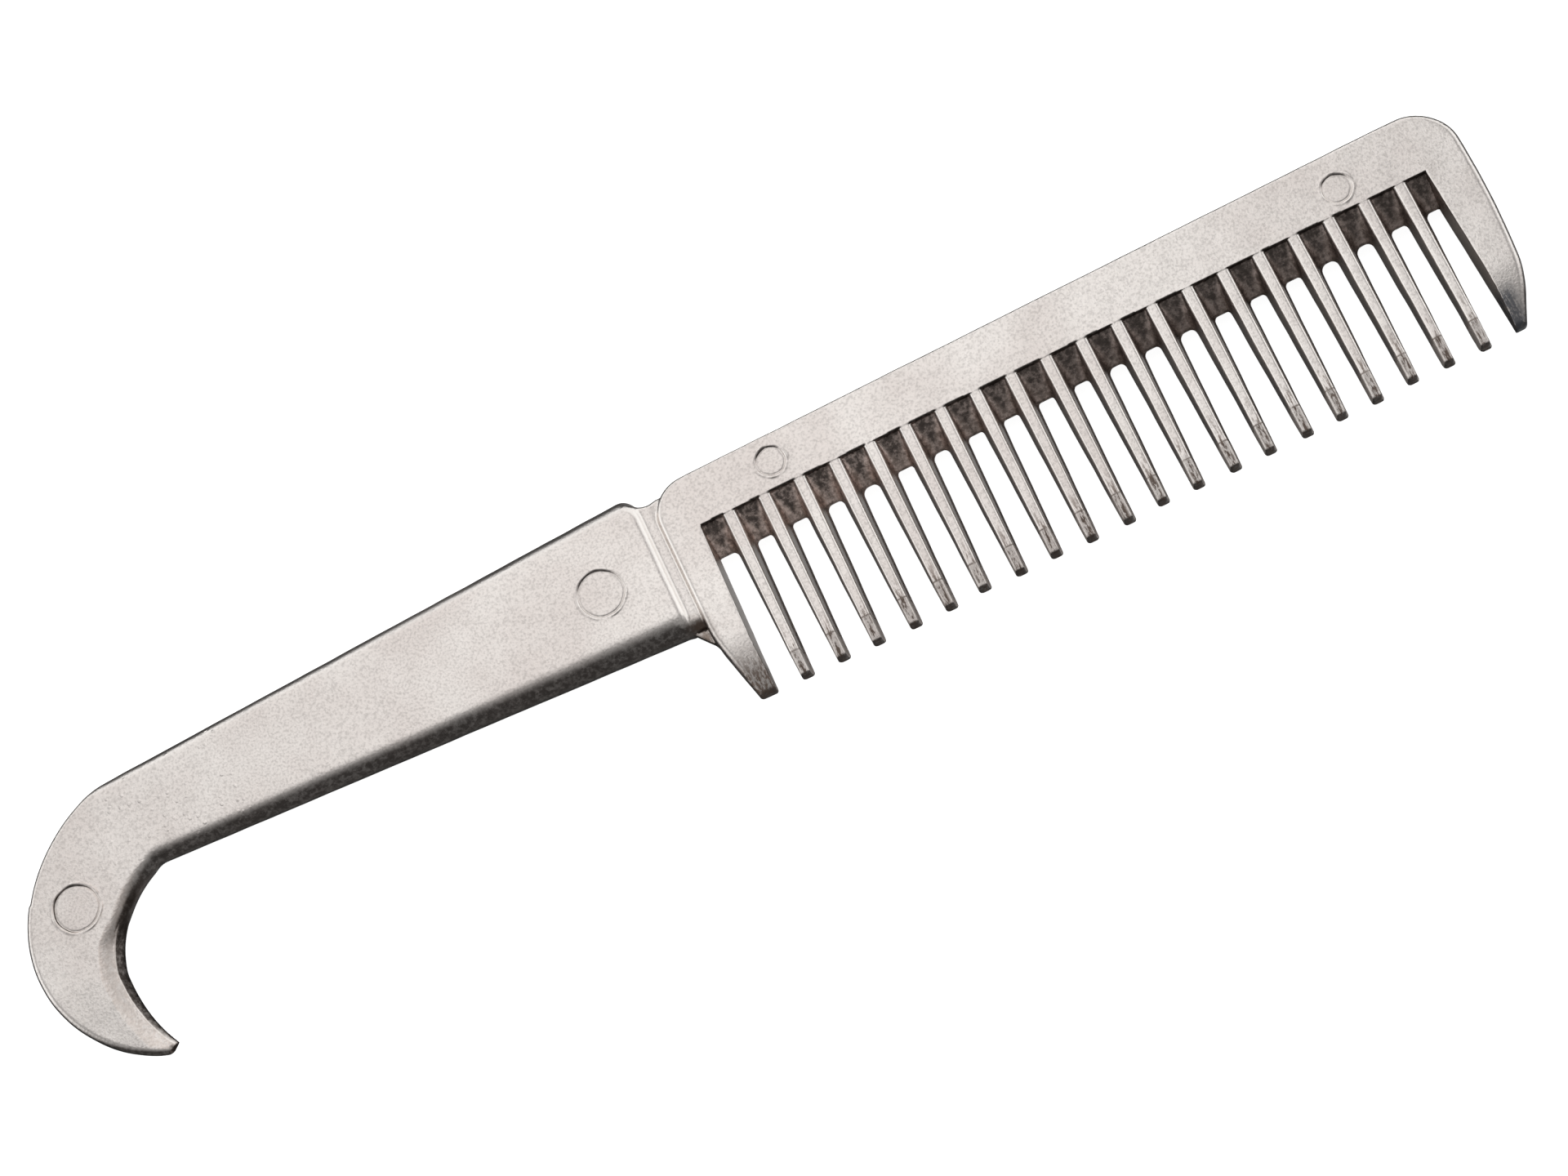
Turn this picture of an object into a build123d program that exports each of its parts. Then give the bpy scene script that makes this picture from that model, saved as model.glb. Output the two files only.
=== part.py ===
from build123d import *
from math import cos, radians, sin
import os

# Cast aluminium mane comb with a hoof hook, in millimetres. +X runs from the hook to the
# comb's free end, +Y from the tooth tips to the spine and +Z out of the front face. The
# origin is the middle of the underside. The casting comes from a two-part die. Its front and
# back halves are alike, but the back halves of the teeth sit a little further along +X.
# Solids are modelled about the parting plane and lifted when they are written.

# Driving dimensions
CAST_THICKNESS = 6.6
PARTING_Z = CAST_THICKNESS / 2
BEYOND = 1.0                 # how far cutting blocks reach past the casting
TALL = 20.0                  # height of cutting blocks, more than any thickness

# Comb plate: the spine and the two guard teeth
COMB_LEFT = -9.5
COMB_RIGHT = 110.15
SPINE_TOP_LEFT = 20.1
SPINE_TOP_RIGHT = 21.3
ROOT_Y = 12.6                # where the spine's flat face ends and the webs slope down
GAP_END_Y = 7.95             # thin end of the webs, where the gaps between teeth begin
WEB_EDGE = 0.5               # thickness of the webs' thin end
PLATE_ROUND = 1.0            # edge radius on the spine and the guards' outer sides
GAP_SIDE_DRAFT = 0.45        # how far the guards' inner sides lean in at the faces
GUARD_TIP_THICKNESS = 2.2
GUARD_BEVEL_Y = -6.0         # where the guards begin to thin towards their tips
GUARD_TIP_Y = -12.2
INNER_ROOT_X = -3.8          # inner guard's side beside the gap, at the root line
INNER_TIP_X = -4.4           # and at its tip
OUTER_ROOT_X = 103.2         # outer guard's side beside the gap, at the root line
OUTER_TIP_X = 104.4          # and at its tip
SHARP_EDGES_X = (-6.0, 105.3)              # plate edges below the spine and between these stay sharp

# Slender teeth
TOOTH_COUNT = 20
TOOTH_PITCH = 5.252
FIRST_TOOTH_X = -0.1
TIP_Y = -12.5
BEVEL_Y = -9.0               # where each tooth begins to thin towards its tip
HALF_SHIFT = 0.3             # the back half of the die sits this far along +X
ROOT_WIDTH = 2.7             # of each half at the gap end, on the parting plane
TIP_WIDTH = 1.5
ROOT_RIDGE = 1.36            # width of the flat ridge on the front and back
TIP_RIDGE = 1.1
TIP_THICKNESS = 2.6
BURIED = 1.0                 # how far webs and tooth roots run on inside the spine

# Neck
NECK_THICKNESS = 5.2
NECK_WAIST = 4.2             # thickness at the bottom of its groove
NECK_GROOVE_RADIUS = 1.6
NECK_TOP_Y = 18.7
NECK_OVERLAP = 1.5           # how far its outline runs on, before its neighbours are cut away
NECK_CORNER = ((-12.3, 0.7), (-11.0, 0.2), (-10.0, -0.6), (-9.6, -1.6))  # its lower edge

# Handle, with its sections as X, lower side, upper side and thickness
HANDLE_END_X = -10.8
HANDLE_STATIONS = (
    (-88.3, 3.95, 17.95, 4.6),
    (-42.7, 1.3, 19.9, 5.6),
    (HANDLE_END_X, -0.25, 21.5, CAST_THICKNESS),
)
HANDLE_EDGE_SHARE = 0.43     # edge radius as a share of the thickness
HANDLE_END_ROUND = 1.7

# Hoof hook: each side is two arcs, as centre X, centre Y, radius, first and last angle
HOOK_OUTSIDE = (
    (-86.7, -6.43, 24.8, 103.5, 149.5),
    (-92.3, -3.13, 18.45, 149.5, 250.5),
)
HOOK_INSIDE = (
    (-84.6, -10.46, 15.15, 109.5, 170.6),
    (-77.56, -8.69, 21.9, 178.2, 207.4),
)
HOOK_STEPS = 10              # spans between the sections along the arcs
HOOK_THIN_SHARE = 0.6        # share of the way along at which the hook begins to thin
HOOK_TIP_THICKNESS = 2.0

# Marks that the ejector pins leave in the front face, as X, Y and radius
MARK_DEPTH = 0.12
HANDLE_MARK = (-20.3, 10.1, 3.2)
HOOK_MARK = (-102.1, 2.9, 3.15)
SPINE_MARKS = ((7.9, 16.4, 2.0), (92.1, 15.9, 2.0))


def save(node, solid):
    """Writes one region of the casting, lifted so that the underside lies at Z 0."""
    export_step(Pos(0, 0, PARTING_Z) * solid, f"parts/{node}.step")


def block(x_range, y_range, height):
    """A box between the given X and Y limits, centred on the parting plane."""
    middle = (sum(x_range) / 2, sum(y_range) / 2)
    return Pos(*middle, 0) * Box(x_range[1] - x_range[0], y_range[1] - y_range[0], height)


def bar(profile, x_range):
    """A closed outline of Y and Z points, run along X."""
    shape = extrude(Plane.YZ * Polygon(*profile, align=None), x_range[1] - x_range[0])
    return Pos(x_range[0], 0, 0) * shape


def face_height(x):
    """Height of the handle's front face above the parting plane."""
    hook_x, _, _, hook_thickness = HANDLE_STATIONS[0]
    share = (x - hook_x) / (HANDLE_END_X - hook_x)
    return (hook_thickness + share * (CAST_THICKNESS - hook_thickness)) / 2


def mark_cutter(mark, face_z):
    """The shallow disc that an ejector pin leaves in a face."""
    x, y, radius = mark
    return Pos(x, y, face_z) * Cylinder(radius, 2 * MARK_DEPTH)


def thin_towards(solid, x_range, y_range, start, end):
    """Thins a solid evenly along -Y, from the start thickness to the end thickness."""
    slope = (start - end) / 2 / (y_range[0] - y_range[1])
    low_y = y_range[1] - BEYOND
    low_z = end / 2 - slope * BEYOND
    high_z = start / 2 + BEYOND
    profile = [(y_range[0], start / 2), (low_y, low_z), (low_y, high_z), (y_range[0], high_z)]
    wedge = bar(profile, x_range)
    return solid - wedge - mirror(wedge, Plane.XY)


def tooth_section(x, y, thickness):
    """A tooth's section at one Y: each half leans in from the parting plane to its ridge."""
    share = (GAP_END_Y - y) / (GAP_END_Y - TIP_Y)
    width = ROOT_WIDTH + share * (TIP_WIDTH - ROOT_WIDTH)
    ridge = ROOT_RIDGE + share * (TIP_RIDGE - ROOT_RIDGE)
    half = [(-width / 2, 0), (-ridge / 2, thickness / 2), (ridge / 2, thickness / 2), (width / 2, 0)]
    back = [(HALF_SHIFT - across, -up) for across, up in half]
    plane = Plane(origin=(x, y, 0), x_dir=(1, 0, 0), z_dir=(0, -1, 0))
    return plane * Polygon(*half, *back, align=None)


def tooth(x, stations):
    """A tooth through stations of Y and thickness."""
    return loft([tooth_section(x, y, thickness) for y, thickness in stations], ruled=True)


def web_bar():
    """The wedge-shaped webs between the tooth roots, as one bar between the guards."""
    face = CAST_THICKNESS / 2
    front = [(ROOT_Y + BURIED, face), (ROOT_Y, face), (GAP_END_Y, WEB_EDGE / 2)]
    back = [(y, -z) for y, z in reversed(front)]
    return bar(front + back, (INNER_TIP_X, OUTER_TIP_X))


def plate_outline():
    """The comb plate's outline, as corners with their radii; the tips' inner corners stay sharp."""
    corners = [
        (COMB_LEFT, SPINE_TOP_LEFT, 5.0),
        (109.7, SPINE_TOP_RIGHT, 6.2),
        (COMB_RIGHT, 5.0, 25.0),
        (109.2, -7.0, 8.0),
        (106.1, GUARD_TIP_Y, 0.5),
        (OUTER_TIP_X, GUARD_TIP_Y, 0),
        (OUTER_ROOT_X, ROOT_Y, 0),
        (INNER_ROOT_X, ROOT_Y, 0),
        (INNER_TIP_X, GUARD_TIP_Y, 0),
        (-6.9, GUARD_TIP_Y, 0.4),
        (COMB_LEFT, -1.8, 6.0),
    ]
    points = [(x, y) for x, y, _ in corners]
    outline = Polygon(*points, align=None)
    for x, y, radius in corners:
        if radius:
            vertex = outline.vertices().sort_by_distance((x, y, 0))[0]
            outline = fillet(vertex, radius)
    return outline


def stays_sharp(edge):
    """True for a plate edge that looks onto the gaps between the teeth, or ends a guard."""
    middle = edge.center()
    return middle.Y < ROOT_Y + BEYOND and SHARP_EDGES_X[0] < middle.X < SHARP_EDGES_X[1]


def draft_wedges(tip, root, towards):
    """Cutters for the draft of a guard's inner side, both ways from the parting plane."""
    tip, root = Vector(*tip), Vector(*root)
    along = (root - tip).normalized()
    across = Vector(towards * along.Y, -towards * along.X)
    plane = Plane(origin=tip - along, x_dir=across, z_dir=along)
    top = CAST_THICKNESS / 2
    wedges = []
    for side in (1, -1):
        corners = [(0, side * WEB_EDGE / 2), (GAP_SIDE_DRAFT, side * top), (0, side * top)]
        section = plane * Polygon(*corners, align=None)
        wedges.append(extrude(section, (root - tip).length + 1))
    return wedges


def comb_plate():
    """The spine and both guard teeth as one rounded frame."""
    plate = extrude(plate_outline(), CAST_THICKNESS / 2, both=True)
    faces = plate.faces().sort_by(Axis.Z)
    edges = faces[0].edges() + faces[-1].edges()
    plate = fillet([edge for edge in edges if not stays_sharp(edge)], PLATE_ROUND)
    plate -= draft_wedges((INNER_TIP_X, GUARD_TIP_Y), (INNER_ROOT_X, ROOT_Y), -1)
    plate -= draft_wedges((OUTER_TIP_X, GUARD_TIP_Y), (OUTER_ROOT_X, ROOT_Y), 1)
    x_range = (COMB_LEFT - BEYOND, COMB_RIGHT + BEYOND)
    y_range = (GUARD_BEVEL_Y, GUARD_TIP_Y)
    return thin_towards(plate, x_range, y_range, CAST_THICKNESS, GUARD_TIP_THICKNESS)


def comb_spine(plate, tooth_places):
    """The plate above the root line, with the webs and the tooth roots below it."""
    whole = (COMB_LEFT - BEYOND, COMB_RIGHT + BEYOND)
    spine = plate & block(whole, (ROOT_Y, SPINE_TOP_RIGHT + BEYOND), TALL)
    spine += web_bar() - plate
    for x in tooth_places:
        spine += tooth(x, [(ROOT_Y + BURIED, CAST_THICKNESS), (GAP_END_Y, CAST_THICKNESS)])
    for mark in SPINE_MARKS:
        spine -= mark_cutter(mark, CAST_THICKNESS / 2)
    return spine


def handle():
    """The tapered handle, through rounded sections from the hook to the neck."""
    sections = []
    for x, low_y, high_y, thickness in HANDLE_STATIONS:
        plane = Plane(origin=(x, (low_y + high_y) / 2, 0), x_dir=(0, 1, 0), z_dir=(1, 0, 0))
        radius = HANDLE_EDGE_SHARE * thickness
        sections.append(plane * RectangleRounded(high_y - low_y, thickness, radius))
    solid = loft(sections, ruled=True)
    end_edges = solid.faces().sort_by(Axis.X)[-1].edges()
    solid = fillet(end_edges, HANDLE_END_ROUND)
    return solid - mark_cutter(HANDLE_MARK, face_height(HANDLE_MARK[0]))


def neck(plate, grip):
    """The grooved waist that joins the handle to the comb."""
    inside_comb = COMB_LEFT + NECK_OVERLAP
    outline = Polygon(
        (HANDLE_END_X - NECK_OVERLAP, NECK_TOP_Y),
        *NECK_CORNER,
        (inside_comb, NECK_CORNER[-1][1]),
        (inside_comb, NECK_TOP_Y),
        align=None,
    )
    solid = extrude(outline, NECK_THICKNESS / 2, both=True)
    groove_x = (HANDLE_END_X + COMB_LEFT) / 2
    groove = Cylinder(NECK_GROOVE_RADIUS, 3 * NECK_TOP_Y, rotation=(90, 0, 0))
    for side in (-1, 1):
        solid -= Pos(groove_x, 0, side * (NECK_WAIST / 2 + NECK_GROOVE_RADIUS)) * groove
    return solid - plate - grip


def side_point(arcs, share):
    """A point part of the way along one side of the hook, by angle turned."""
    turned = share * sum(end - start for *_, start, end in arcs)
    first_turn = arcs[0][4] - arcs[0][3]
    x, y, radius, start, _ = arcs[0] if turned <= first_turn else arcs[1]
    angle = start + turned if turned <= first_turn else start + turned - first_turn
    return Vector(x + radius * cos(radians(angle)), y + radius * sin(radians(angle)), 0)


def hook_section(outside, inside, thickness):
    """A rounded section that spans the hook from its inner to its outer side."""
    across = outside - inside
    plane = Plane(origin=(outside + inside) / 2, x_dir=across, z_dir=across.cross(Vector(0, 0, 1)))
    radius = HANDLE_EDGE_SHARE * min(thickness, across.length)
    return plane * RectangleRounded(across.length, thickness, radius)


def hoof_hook():
    """The curved pick, thinning towards its blunt tip."""
    x, low_y, high_y, thickness = HANDLE_STATIONS[0]
    sections = [hook_section(Vector(x, high_y, 0), Vector(x, low_y, 0), thickness)]
    for step in range(HOOK_STEPS + 1):
        share = step / HOOK_STEPS
        outside = side_point(HOOK_OUTSIDE, share)
        inside = side_point(HOOK_INSIDE, share)
        thinned = max(0.0, (share - HOOK_THIN_SHARE) / (1 - HOOK_THIN_SHARE))
        here = thickness + thinned * (HOOK_TIP_THICKNESS - thickness)
        sections.append(hook_section(outside, inside, here))
    solid = loft(sections)
    return solid - mark_cutter(HOOK_MARK, thickness / 2)


def main():
    os.makedirs("parts", exist_ok=True)
    tooth_places = [FIRST_TOOTH_X + number * TOOTH_PITCH for number in range(TOOTH_COUNT)]
    plate = comb_plate()
    grip = handle()
    save("comb_spine", comb_spine(plate, tooth_places))
    below = (GUARD_TIP_Y - BEYOND, ROOT_Y)
    middle = (COMB_LEFT + COMB_RIGHT) / 2
    save("inner_guard", plate & block((COMB_LEFT - BEYOND, middle), below, TALL))
    save("outer_guard", plate & block((middle, COMB_RIGHT + BEYOND), below, TALL))
    stations = [
        (GAP_END_Y, CAST_THICKNESS),
        (BEVEL_Y, CAST_THICKNESS),
        (TIP_Y, TIP_THICKNESS),
    ]
    for number, x in enumerate(tooth_places, 1):
        save(f"tooth_{number:02}", tooth(x, stations))
    save("neck", neck(plate, grip))
    save("handle", grip)
    save("hoof_hook", hoof_hook())


main()
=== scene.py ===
import math
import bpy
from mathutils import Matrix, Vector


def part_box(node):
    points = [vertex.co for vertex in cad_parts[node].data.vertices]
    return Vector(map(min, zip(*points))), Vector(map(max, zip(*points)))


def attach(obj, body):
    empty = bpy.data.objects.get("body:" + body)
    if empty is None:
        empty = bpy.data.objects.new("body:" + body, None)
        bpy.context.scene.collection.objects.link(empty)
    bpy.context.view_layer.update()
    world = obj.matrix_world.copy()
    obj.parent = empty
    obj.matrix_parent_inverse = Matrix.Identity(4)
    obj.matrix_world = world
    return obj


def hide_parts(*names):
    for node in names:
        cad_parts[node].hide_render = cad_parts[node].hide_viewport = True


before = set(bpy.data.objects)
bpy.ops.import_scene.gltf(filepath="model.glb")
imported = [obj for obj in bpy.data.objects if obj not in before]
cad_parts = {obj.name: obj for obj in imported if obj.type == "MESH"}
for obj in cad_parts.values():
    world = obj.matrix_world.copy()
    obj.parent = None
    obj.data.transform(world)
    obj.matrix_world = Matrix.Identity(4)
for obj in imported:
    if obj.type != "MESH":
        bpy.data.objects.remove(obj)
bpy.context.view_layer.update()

from types import SimpleNamespace

import bmesh
import bpy
import numpy as np
from mathutils import Matrix, Vector

# A cast aluminium mane comb with a hoof hook. The whole casting is one distance field, in
# millimetres, in the frame's own axes: +X from the hook to the comb's free end, +Y from the tooth
# tips to the spine, +Z out of the front face. Each region of the casting is meshed from the field,
# cut flat where it meets its neighbours, and stands for its CAD node.

MM = 1000.0                  # millimetres in one metre of the frame


def node_box(name):
    """A CAD node's lowest and highest corners, in millimetres."""
    low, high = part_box(name)
    return np.array(low) * MM, np.array(high) * MM


SPINE_LOW, SPINE_HIGH = node_box("comb_spine")
GUARD_LOW, GUARD_HIGH = node_box("inner_guard")
FIRST_LOW, FIRST_HIGH = node_box("tooth_01")
LAST_LOW, _ = node_box("tooth_20")
HANDLE_LOW, HANDLE_HIGH = node_box("handle")
HOOK_LOW, _ = node_box("hoof_hook")

# Comb plate
PARTING_Z = (SPINE_LOW[2] + SPINE_HIGH[2]) / 2
HALF = (SPINE_HIGH[2] - SPINE_LOW[2]) / 2
FRONT_Z = PARTING_Z + 0.9    # the ejector marks sink only what lies above this
COMB_LEFT, COMB_RIGHT = SPINE_LOW[0], SPINE_HIGH[0]
SPINE_TOP = SPINE_HIGH[1]    # at the free end
SPINE_FALL = 0.577           # degrees that the spine's top falls towards the handle
TOP_LEFT_RADIUS, TOP_RIGHT_RADIUS = 5.0, 6.2     # of the spine's upper corners
LEFT_SIDE_X = COMB_LEFT + 0.15             # the waist is a little wider than the CAD's
BELLY_RADIUS, BELLY_Y = 120.0, 9.5         # of the free end's slight bulge
INNER_GUARD_OUTSIDE = ((-9.35, -2.5), 193.9)     # a point on the side and the way it faces, in degrees
OUTER_GUARD_OUTSIDE = ((109.3, -5.2), -25.2)
PLATE_EDGES = ((-8.0, -3.0, 100.0, 108.0), (0.95, 0.5, 0.6, 1.0))      # X and the edge radius there
GAP_EDGE = 0.12              # edge radius along the root line and the guards' inner sides
ROOT_Y = GUARD_HIGH[1]
GAP_END_Y = SPINE_LOW[1]
GUARD_TIP_Y = GUARD_LOW[1]
WEB_EDGE = 0.25              # half thickness of the webs' thin end
WEB_STEP = 0.6               # how far the webs' thick end lies below the spine's face
WEB_VALLEY = 0.4             # how far each web dips midway between two teeth
WEB_COSINE = 0.86            # about that of the webs' slope
WEB_END_INSET = 0.12         # how far short of the CAD's the webs end
BURIED = 1.0                 # how far webs and teeth run on inside the spine
ROOT_FILLET = 0.1            # between a tooth and the webs, at the faces; it grows with depth
GUARD_THIN_FROM = -2.5       # where the guards begin to roll off towards their tips
GUARD_TIP_HALF = 1.1
GUARD_TIP_RADIUS = 0.4
INNER_SIDE = (GUARD_HIGH[0], 0.0242)       # X at the root line, and how it leans towards the tip
OUTER_SIDE = (103.1, -0.05)
SIDE_DRAFT = 0.55            # how far the guards' inner sides lean in at the faces

# Slender teeth
TOOTH_COUNT = 20
TOOTH_PITCH = (LAST_LOW[0] - FIRST_LOW[0]) / (TOOTH_COUNT - 1)
BACK_SHIFT = 0.3             # the back half of the die sits this far along +X
FIRST_TOOTH_X = (FIRST_LOW[0] + FIRST_HIGH[0] - BACK_SHIFT) / 2
TIP_Y = FIRST_LOW[1]
BEVEL_Y = -9.0               # where each tooth begins to thin towards its tip
ROOT_WIDTH, TIP_WIDTH = 2.7, 1.5           # of each half, on the parting plane
ROOT_RIDGE, TIP_RIDGE = 1.56, 1.34         # of the flat ridge on each face
TIP_HALF = 2.75              # half thickness at the tip
BACK_DRAFT = 0.4             # how far the back half's ends lean in, for each millimetre of height
RIDGE_ROUND, TIP_ROUND = 0.4, 0.35         # edge radii along the ridges and round the tips
RIDGE_DROP = 0.03            # how far the ridges lie below the spine's face

# Handle and hook
HANDLE_END = HANDLE_HIGH[0]
HOOK_X = HANDLE_LOW[0]
HANDLE_SHORT = 0.4           # how far short of the CAD's end the rounded end stops
HANDLE_TOP = ((HOOK_X, 17.95), 92.62)      # a point on the side and the way it faces
HANDLE_BOTTOM = ((HOOK_X, 3.98), 266.9)
HANDLE_HALVES = ((HOOK_X, 2.3), (-42.7, 2.82), (HANDLE_END, HALF))      # X and half thickness
EDGE_SHARE = 0.96            # edge radius as a share of the half thickness
HANDLE_END_EDGE = 1.1        # edge radius at the handle's end
HANDLE_CORNER = 2.4          # and at its upper corner
WALL_LEAN = 1.25             # how far the hook's inner wall leans out from the face to the parting plane
BEVEL_WIDTH = 1.9            # of the bevel along the hook's inner side
BEVEL_SHARE = 0.33           # its depth as a share of the half thickness
HOOK_EDGE, WALL_EDGE = 0.9, 0.2            # edge radii on the hook's outer and inner sides

# Circles that the hook's outer and inner sides follow: X, Y and radius
HOOK_OUTSIDE = ((-86.7, -6.43, 24.8), (-92.3, -3.13, 18.45))
HOOK_OUTSIDE_TURN = 149.5    # degrees at which the second circle takes over from the first
HOOK_INSIDE = ((-84.6, -10.46, 15.15), (-77.56, -8.69, 21.9))
HOOK_INSIDE_HANDOVER = (-6.5, -9.5)        # Y where the second inner circle takes over
HOOK_HANDOVER = (HOOK_X - 2.9, HOOK_X + 0.1)     # X where the handle's lower side takes over
HOOK_THIN_FROM = -7.0        # where the hook begins to thin towards its tip
HOOK_TIP_HALF, HOOK_TIP_RADIUS = 1.0, 0.6
HOOK_TIP = ((-97.25, -20.1), -50.0)

# Neck
NECK_X = -10.2
NECK_HALF = 2.45
NECK_TOP_Y = 18.85
NECK_FLARE, NECK_TOP_FLARE = 0.16, 0.13    # how fast its faces and its top rise to either side
NECK_REACH = 2.4             # how far it runs to either side, into the handle and the comb
NECK_WEB_SIDE = ((-11.3, -0.25), 219.0)    # of the thin web in the corner under it
NECK_WEB_HALF = 0.7
NECK_FILLET, COMB_FILLET = 0.45, 0.3       # where it meets the handle, and where they meet the comb

# Marks that the ejector pins leave in the front face: X, Y and radius
MARKS = ((-20.3, 10.1, 3.2), (-102.1, 2.9, 3.15), (7.9, 16.4, 2.0), (92.1, 15.9, 2.0))
MARK_DEPTH, MARK_GROOVE, MARK_LIP = 0.13, 0.08, 0.11       # of the disc, its groove and its lip
MARK_RIM = 0.6               # how far from a mark's circle its rim needs fine faces
WAVE_HEIGHT = 0.005          # of the cast surface's slow unevenness

# Where the casting is divided
NECK_CUTS = (HANDLE_END - 0.9, COMB_LEFT - 0.45)
ROOT_CUT_Y = ROOT_Y + 0.35   # clear of the edge along the root line
GUARD_CUTS = (INNER_SIDE[0] + 0.4, OUTER_SIDE[0] - 0.25)


def smoothstep(start, end, value):
    """0 before start, 1 after end, with a soft ramp between them."""
    share = np.clip((value - start) / (end - start), 0.0, 1.0)
    return share * share * (3.0 - 2.0 * share)


def blend(a, b, share):
    return a + (b - a) * share


def round_edge(a, b, radius):
    """What is inside both a and b, with the edge between them rounded."""
    corner = np.hypot(np.maximum(radius + a, 0.0), np.maximum(radius + b, 0.0))
    return np.minimum(-radius, np.maximum(a, b)) + corner


def fillet(a, b, radius):
    """What is inside a or b, with the inside corner between them filled."""
    corner = np.hypot(np.maximum(radius - a, 0.0), np.maximum(radius - b, 0.0))
    return np.maximum(radius, np.minimum(a, b)) - corner


def soft_max(a, b, width):
    """The larger of two, eased where they cross at a shallow angle."""
    near = np.maximum(width - np.abs(a - b), 0.0)
    return np.maximum(a, b) + near * near / (4.0 * width)


def side(x, y, point, facing):
    """Distance beyond a straight side through point that faces that many degrees round from +X."""
    angle = math.radians(facing)
    return (x - point[0]) * math.cos(angle) + (y - point[1]) * math.sin(angle)


def circle(x, y, ring):
    return np.hypot(x - ring[0], y - ring[1]) - ring[2]


def plate_field(x, y, height):
    """The comb plate: its outline, its rounded edges and its two guards."""
    top = side(x, y, (COMB_RIGHT, SPINE_TOP), 90 + SPINE_FALL)
    left = soft_max(LEFT_SIDE_X - x, side(x, y, *INNER_GUARD_OUTSIDE), 0.5)
    belly = circle(x, y, (COMB_RIGHT - BELLY_RADIUS, BELLY_Y, BELLY_RADIUS))
    right = soft_max(belly, side(x, y, *OUTER_GUARD_OUTSIDE), 0.8)
    outline = round_edge(round_edge(top, left, TOP_LEFT_RADIUS), right, TOP_RIGHT_RADIUS)
    outline = round_edge(outline, GUARD_TIP_Y - y, GUARD_TIP_RADIUS)
    thinned = np.clip((GUARD_THIN_FROM - y) / (GUARD_THIN_FROM - GUARD_TIP_Y), 0.0, 1.0)
    half = HALF - (HALF - GUARD_TIP_HALF) * thinned ** 1.7
    edge = np.minimum(np.interp(x, *PLATE_EDGES), 0.8 * half)
    plate = round_edge(outline, height - half, edge)
    draft = SIDE_DRAFT * height / HALF
    below = ROOT_Y - y
    inner = x - (INNER_SIDE[0] - INNER_SIDE[1] * below - draft)
    outer = (OUTER_SIDE[0] - OUTER_SIDE[1] * below + draft) - x
    gaps = np.minimum(np.minimum(inner, outer), below)
    return round_edge(plate, gaps, GAP_EDGE)


def teeth_field(x, y, height, back, nature):
    """All the slender teeth, each with its own slight lean and length."""
    place = np.clip(np.round((x - FIRST_TOOTH_X) / TOOTH_PITCH), 0, TOOTH_COUNT - 1)
    number = place.astype(int)
    share = np.clip((GAP_END_Y - y) / (GAP_END_Y - TIP_Y), -0.3, 1.0)
    lean = nature["lean"][number] * np.maximum(share, 0.0) ** 2
    across = np.abs(x - FIRST_TOOTH_X - place * TOOTH_PITCH - lean - BACK_SHIFT * back)
    width = blend(ROOT_WIDTH, TIP_WIDTH, share) / 2
    ridge = blend(ROOT_RIDGE, TIP_RIDGE, share) / 2
    slope = (width - ridge) / HALF
    flank = (across - width + slope * height) / np.sqrt(1 + slope * slope)
    thinned = np.clip((BEVEL_Y - y) / (BEVEL_Y - TIP_Y), 0.0, 1.0)
    half = HALF - RIDGE_DROP - (HALF - TIP_HALF) * thinned
    tooth = round_edge(flank, height - half, RIDGE_ROUND)
    tip = TIP_Y + nature["short"][number] + BACK_DRAFT * height * back
    tooth = round_edge(tooth, tip - y, TIP_ROUND)
    return np.maximum(tooth, y - ROOT_Y - BURIED)


def webs_field(x, y, height):
    """The wedge between the tooth roots, from just under the faces to a thin edge."""
    rise = np.clip((y - GAP_END_Y) / (ROOT_Y - GAP_END_Y), 0.0, 1.0)
    off_centre = np.abs((x - FIRST_TOOTH_X) / TOOTH_PITCH % 1.0 - 0.5)
    valley = WEB_VALLEY * (1.0 - 2.0 * off_centre) * rise
    half = WEB_EDGE + (HALF - WEB_STEP - WEB_EDGE) * rise - valley
    web = (height - half) * WEB_COSINE
    web = np.maximum(web, y - ROOT_Y - BURIED)
    return round_edge(web, GAP_END_Y + WEB_END_INSET - y, 0.2)


def comb_field(x, y, height, back, nature):
    """Plate, webs and teeth together, flush with the faces."""
    plate = plate_field(x, y, height)
    gap = np.clip(np.floor((x - FIRST_TOOTH_X) / TOOTH_PITCH) + 1, 0, TOOTH_COUNT).astype(int)
    reach = ROOT_FILLET + nature["reach"][gap] * smoothstep(HALF - 0.2, HALF - 1.8, height)
    between = np.maximum(INNER_SIDE[0] - 1.5 - x, x - OUTER_SIDE[0] - 1.5)
    webs = np.maximum(webs_field(x, y, height), between)
    comb = fillet(np.minimum(plate, webs), teeth_field(x, y, height, back, nature), reach)
    comb = np.where(y > ROOT_Y + 0.5, plate, comb)
    return np.maximum(comb, height - HALF)


def grip_upper(x, y):
    """Distance beyond the handle's upper side and the hook's outer side, to its tip."""
    outside = circle(x, y, HOOK_OUTSIDE[0])
    turn = math.radians(HOOK_OUTSIDE_TURN)
    past = math.cos(turn) * (y - HOOK_OUTSIDE[0][1]) - math.sin(turn) * (x - HOOK_OUTSIDE[0][0])
    outside = np.where(past > 0, circle(x, y, HOOK_OUTSIDE[1]), outside)
    upper = side(x, y, *HANDLE_TOP)
    upper = np.where(x > HOOK_X + 0.3, upper, soft_max(upper, outside, 0.4))
    tipped = round_edge(upper, side(x, y, *HOOK_TIP), HOOK_TIP_RADIUS)
    return np.where(y < HOOK_TIP[0][1] + 6, tipped, upper)


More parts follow.
